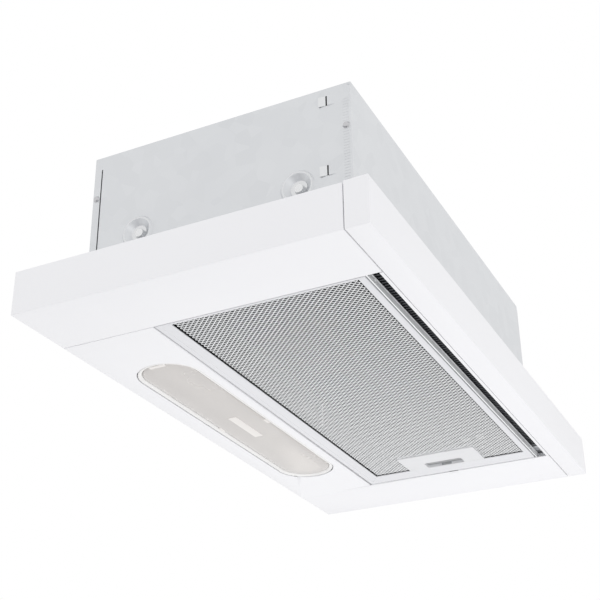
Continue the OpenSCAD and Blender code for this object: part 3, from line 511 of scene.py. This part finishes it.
bpy.ops.object.select_all(action="DESELECT")
bpy.ops.mesh.primitive_plane_add(size=1, location=(0, 0, 0))
filter_rim = bpy.context.object
filter_rim.name = filter_rim.data.name = "filter_rim"
bpy.ops.transform.resize(value=(frame_size.x * mm, frame_size.y * mm, 1))
bpy.ops.transform.translate(value=(frame_middle.x * mm, frame_middle.y * mm,
                                   (frame_low.z + edge_height) * mm))
bpy.ops.object.transform_apply(location=True, rotation=True, scale=True)

# The face steps inwards in rings. Each ring is given by its share of the rim's width and by its height.
window_x, window_y = (window[0] + window[1]) / 2 * mm, (window[2] + window[3]) / 2 * mm
share_done, height_done = 0.0, edge_height
bpy.ops.object.mode_set(mode="EDIT")
for share, height in ((0.05, 0.0), (0.33, 0.0), (0.38, 0.45), (0.94, 0.45), (1.0, 0.75), (1.001, 1.6)):
    bpy.ops.mesh.inset(thickness=0.0001 * mm)
    bpy.ops.transform.translate(value=(0, 0, (height - height_done) * mm))
    step = share - share_done
    bpy.ops.object.mode_set(mode="OBJECT")
    inner = {i for face in filter_rim.data.polygons if face.select for i in face.vertices}
    for i in inner:
        corner = filter_rim.data.vertices[i].co
        corner.x += step * (rims["left"] if corner.x < window_x else -rims["right"]) * mm
        corner.y += step * (rims["front"] if corner.y < window_y else -rims["rear"]) * mm
    bpy.ops.object.mode_set(mode="EDIT")
    share_done, height_done = share, height
bpy.ops.mesh.delete(type="FACE")

# The four mitres are pressed in as narrow grooves.
bpy.ops.mesh.select_mode(type="EDGE")
bpy.ops.object.mode_set(mode="OBJECT")
for edge in filter_rim.data.edges:
    a, b = (filter_rim.data.vertices[i].co / mm for i in edge.vertices)
    edge.select = abs(a.x - b.x) > 0.01 and abs(a.y - b.y) > 0.01
bpy.ops.object.mode_set(mode="EDIT")
bpy.ops.mesh.bevel(offset=mitre_width * mm, segments=2, profile=0.5, affect="EDGES")
bpy.ops.mesh.select_all(action="DESELECT")
bpy.ops.object.mode_set(mode="OBJECT")
mitres = [(Vector((x, y, 0)), Vector((u, v, 0)))
          for x, u in ((frame_low.x, window[0]), (frame_high.x, window[1]))
          for y, v in ((frame_low.y, window[2]), (frame_high.y, window[3]))]
for point in filter_rim.data.vertices:
    flat = Vector((point.co.x / mm, point.co.y / mm, 0))
    for start, end in mitres:
        along = (end - start).normalized()
        off = (flat - start) - along * (flat - start).dot(along)
        if off.length < 0.03 and point.co.z < (frame_low.z + 0.9) * mm:
            point.select = True
bpy.ops.object.mode_set(mode="EDIT")
bpy.ops.mesh.select_mode(type="VERT")
bpy.ops.transform.translate(value=(0, 0, mitre_deep * mm))
bpy.ops.mesh.select_all(action="DESELECT")
bpy.ops.mesh.select_mode(type="EDGE")
bpy.ops.object.mode_set(mode="OBJECT")

# The outer edge is folded up into a skirt, and the whole strip gets its thickness.
for edge in filter_rim.data.edges:
    a, b = (filter_rim.data.vertices[i].co / mm for i in edge.vertices)
    edge.select = any(abs(a[k] - side[k]) < 0.01 and abs(b[k] - side[k]) < 0.01
                      for k in (0, 1) for side in (frame_low, frame_high))
bpy.ops.object.mode_set(mode="EDIT")
bpy.ops.mesh.extrude_edges_move(TRANSFORM_OT_translate={"value": (0, 0, skirt_height * mm)})
bpy.ops.mesh.select_all(action="SELECT")
bpy.ops.mesh.remove_doubles(threshold=0.00001)
bpy.ops.mesh.normals_make_consistent(inside=False)
bpy.ops.object.mode_set(mode="OBJECT")
sheet = filter_rim.modifiers.new("sheet", "SOLIDIFY")
sheet.thickness = strip_t * mm
sheet.offset = -1
bpy.ops.object.modifier_apply(modifier="sheet")
bpy.ops.object.shade_smooth_by_angle(angle=radians(25))
filter_rim.data.materials.append(satin_aluminium)
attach(filter_rim, "filter")
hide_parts("filter_frame")


# ---- Filter mesh: two layers of expanded aluminium, slit and pulled open into small diamonds.
# Each strand is a thin three sided bar, and one pair of strands is repeated into the whole sheet.
# The inner layer is painted near black as painted shade for the openings, and shifted so that it closes
# part of each opening. Both stop round the latch.
mesh_aluminium = coloured_finish("mesh_aluminium", (0.91, 0.92, 0.935), (0.97, 0.975, 0.985), (0.26, 0.38),
                                 broad=500, fine=2500, bump=0.01, Metallic=0.25)
# Painted shade: the inner layer of aluminium is coloured near black so that the openings behind the face
# layer read dark.
painted_shade_aluminium = coloured_finish("painted_shade_aluminium", (0.12, 0.123, 0.13), (0.18, 0.184, 0.192),
                                   (0.4, 0.5), broad=300, fine=2500, bump=0.01, Metallic=0.3)
strand_pitch = 4.8
strand_width = 1.08
strand_tall = 0.4
tucked_in = 1.2
latch_low, latch_high = (Vector(corner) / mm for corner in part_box("filter_latch"))


def mesh_layer(name, finish, base, shift_x, shift_y):
    """One sheet of diamonds whose strands hang from base, in millimetres."""
    low_x, high_x = window[0] - tucked_in, window[1] + tucked_in
    low_y, high_y = window[2] - tucked_in, window[3] + tucked_in
    cells = int((high_x - low_x - 2) / strand_pitch)
    start_x = (low_x + high_x) / 2 - cells * strand_pitch / 2 + shift_x
    rows = int((high_y - low_y - 2) / strand_pitch)
    start_y = (low_y + high_y) / 2 - rows * strand_pitch / 2 + shift_y
    strands = []
    for turned in (False, True):
        bpy.ops.object.select_all(action="DESELECT")
        bpy.ops.mesh.primitive_grid_add(x_subdivisions=2 * cells, y_subdivisions=3, size=1)
        strand = bpy.context.object
        strand.name = "strand"
        bpy.ops.transform.resize(value=(cells * strand_pitch * mm, 3 * strand_width / 2 * mm, 1))
        bpy.ops.object.transform_apply(location=True, rotation=True, scale=True)
        # The flat ribbon is folded into a bar: its second line drops, and its last line joins the first.
        levels = sorted({round(point.co.y / mm, 4) for point in strand.data.vertices})
        moves = {levels[1]: (0, 0, -strand_tall * mm), levels[3]: (0, -3 * strand_width / 2 * mm, 0)}
        for level, move in moves.items():
            bpy.ops.object.mode_set(mode="EDIT")
            bpy.ops.mesh.select_mode(type="VERT")
            bpy.ops.mesh.select_all(action="DESELECT")
            bpy.ops.object.mode_set(mode="OBJECT")
            for point in strand.data.vertices:
                point.select = abs(point.co.y / mm - level) < 0.01
            bpy.ops.object.mode_set(mode="EDIT")
            bpy.ops.transform.translate(value=move)
            bpy.ops.object.mode_set(mode="OBJECT")
        bpy.ops.object.mode_set(mode="EDIT")
        bpy.ops.mesh.select_all(action="SELECT")
        bpy.ops.mesh.remove_doubles(threshold=0.00001)
        bpy.ops.mesh.normals_make_consistent(inside=False)
        bpy.ops.mesh.select_all(action="DESELECT")
        bpy.ops.object.mode_set(mode="OBJECT")
        # Every second point is pushed across, so that the bar runs in a zigzag.
        for point in strand.data.vertices:
            step = round((point.co.x / mm + cells * strand_pitch / 2) / (strand_pitch / 2))
            point.select = (step % 2 == 1) != turned
        bpy.ops.object.mode_set(mode="EDIT")
        bpy.ops.transform.translate(value=(0, strand_pitch / 2 * mm, 0))
        bpy.ops.mesh.select_all(action="SELECT")
        bpy.ops.transform.translate(value=((start_x + cells * strand_pitch / 2) * mm,
                                           (start_y + (strand_pitch / 2 if turned else 0)) * mm, base * mm))
        bpy.ops.object.mode_set(mode="OBJECT")
        repeat = strand.modifiers.new("repeat", "ARRAY")
        repeat.count = rows
        repeat.use_relative_offset = False
        repeat.use_constant_offset = True
        repeat.constant_offset_displace = (0, strand_pitch * mm, 0)
        bpy.ops.object.modifier_apply(modifier="repeat")
        strands.append(strand)
    for strand in strands:
        strand.select_set(True)
    bpy.ops.object.join()
    layer = bpy.context.object
    layer.name = layer.data.name = name
    bpy.ops.object.mode_set(mode="EDIT")
    bpy.ops.mesh.select_mode(type="FACE")
    bpy.ops.mesh.select_all(action="DESELECT")
    bpy.ops.object.mode_set(mode="OBJECT")
    for face in layer.data.polygons:
        x, y = face.center.x / mm, face.center.y / mm
        face.select = x > latch_low.x - 1 and latch_low.y - 1 < y < latch_high.y + 1
    bpy.ops.object.mode_set(mode="EDIT")
    bpy.ops.mesh.delete(type="FACE")
    bpy.ops.object.mode_set(mode="OBJECT")
    layer.data.materials.append(finish)
    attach(layer, "filter")
    return layer


first_layer = mesh_layer("mesh_face", mesh_aluminium, frame_low.z + 1.9, 0.0, 0.0)
mesh_layer("mesh_middle", painted_shade_aluminium, frame_low.z + 2.9, 1.2, 1.2)
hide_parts("filter_mesh")


# ---- Handle plate: a pale moulding set in the latch end of the filter frame, flush with it.
# It has a rounded finger recess over the latch, and a soft edge all round its face.
pale_moulding = coloured_finish("pale_moulding", (0.70, 0.703, 0.72), (0.75, 0.753, 0.77), (0.36, 0.46),
                                broad=10, fine=1300, bump=0.02)


def handle_edges(a, b):
    return abs(a.z - handle_low.z) < 0.02 and abs(b.z - handle_low.z) < 0.02


handle_plate = soft_copy("filter_handle", "handle_plate", "filter", pale_moulding, 0.5, handle_edges, 3)


# ---- Small parts of the filter: the sliding latch in its recess, its spring, the hinge pins, the keeper.
# The latch is a mid grey moulding, pins and spring are zinc plated, and the keeper is painted white.
latch_grey = coloured_finish("latch_grey", (0.36, 0.365, 0.375), (0.43, 0.435, 0.445), (0.35, 0.45))
plated = coloured_finish("zinc_plated_steel", (0.5, 0.5, 0.52), (0.62, 0.62, 0.63), (0.25, 0.36),
                         Metallic=1.0)
paint_node("filter_latch", latch_grey)
paint_node("filter_pins", plated)
paint_node("latch_spring", plated)
paint_node("keeper_leaf", white_coat)


# ---- Lamp housing: a bright aluminium reflector screwed over the lens opening.
# Two white plastic holders stand in it, each with a frosted bulb.
bright_reflector = coloured_finish("bright_reflector", (0.8, 0.8, 0.8), (0.88, 0.88, 0.87), (0.2, 0.3),
                                   Metallic=1.0)
white_plastic = coloured_finish("white_plastic", (0.78, 0.78, 0.76), (0.84, 0.84, 0.82), (0.3, 0.4))
lamp_glass = coloured_finish("lamp_glass", (0.9, 0.88, 0.84), (0.95, 0.94, 0.9), (0.3, 0.4))
paint_node("reflector", bright_reflector)
paint_node("left_lamp_holder", white_plastic)
paint_node("right_lamp_holder", white_plastic)
paint_node("left_lamp", lamp_glass)
paint_node("right_lamp", lamp_glass)
paint_node("reflector_screws", plated)


# ---- Inside of the drawer: the galvanised tray, with the dark ribbed intake screen screwed under it.
# The ribs of the screen have a slight shine, so their crests show in the slot.
screen_plastic = coloured_finish("screen_plastic", (0.03, 0.032, 0.037), (0.05, 0.053, 0.06), (0.26, 0.36))
paint_node("drawer_tray", zinc_sheet)
paint_node("intake_screen", screen_plastic)
paint_node("tray_screws", plated)


# ---- Drawer slides: zinc plated rails on the carcass and runners on the drawer.
# A brass cage runs between each pair and holds its balls.
brass_cage = coloured_finish("brass_cage", (0.6, 0.48, 0.25), (0.7, 0.57, 0.32), (0.3, 0.4), Metallic=1.0)
for node in ("left_fixed_rail", "right_fixed_rail", "left_runner", "right_runner"):
    paint_node(node, plated)
paint_node("left_ball_cage", brass_cage)
paint_node("right_ball_cage", brass_cage)


# ---- Blower: a grey moulded wheel on the shaft of a black motor, inside two dark scroll halves.
# The motor is screwed to a plated bracket.
dark_plastic = coloured_finish("dark_plastic", (0.022, 0.024, 0.03), (0.035, 0.038, 0.045), (0.42, 0.55))
grey_plastic = coloured_finish("grey_plastic", (0.26, 0.27, 0.29), (0.32, 0.33, 0.35), (0.4, 0.5))
motor_paint = coloured_finish("motor_paint", (0.05, 0.055, 0.06), (0.08, 0.085, 0.09), (0.4, 0.5))
paint_node("left_blower_shell", dark_plastic)
paint_node("right_blower_shell", dark_plastic)
paint_node("blower_wheel", grey_plastic)
paint_node("motor", motor_paint)
for node in ("motor_bracket", "motor_shaft", "motor_screws"):
    paint_node(node, plated)


# ---- Outlet: black moulded collar screwed on the top panel.
# Two flaps hang in it on one plated pin and keep air from coming back.
for node in ("outlet_collar", "front_flap", "rear_flap"):
    paint_node(node, dark_plastic)
paint_node("flap_pin", plated)
paint_node("outlet_screws", plated)


# ---- Controls: black panel and switch housing in the drawer, with two white sliders.
# The switch on the zinc bracket has a red plunger, which the drawer presses.
red_plastic = coloured_finish("red_plastic", (0.5, 0.04, 0.03), (0.6, 0.06, 0.05), (0.35, 0.4))
for node in ("control_panel", "switch_housing", "drawer_switch"):
    paint_node(node, dark_plastic)
paint_node("light_slider", white_plastic)
paint_node("speed_slider", white_plastic)
paint_node("switch_plunger", red_plastic)
paint_node("switch_bracket", zinc_sheet)


# ---- Supply: white terminal box and the motor's white capacitor.
# The cord would go in at the black gland on the top panel.
paint_node("terminal_box", white_plastic)
paint_node("capacitor", white_plastic)
paint_node("cable_gland", dark_plastic)


# ---- Screws of the carcass: zinc plated, in the side flanges and through the white covers.
# They hold the panels to each other and the covers to the carcass.
paint_node("side_screws", plated)
paint_node("cover_screws", plated)
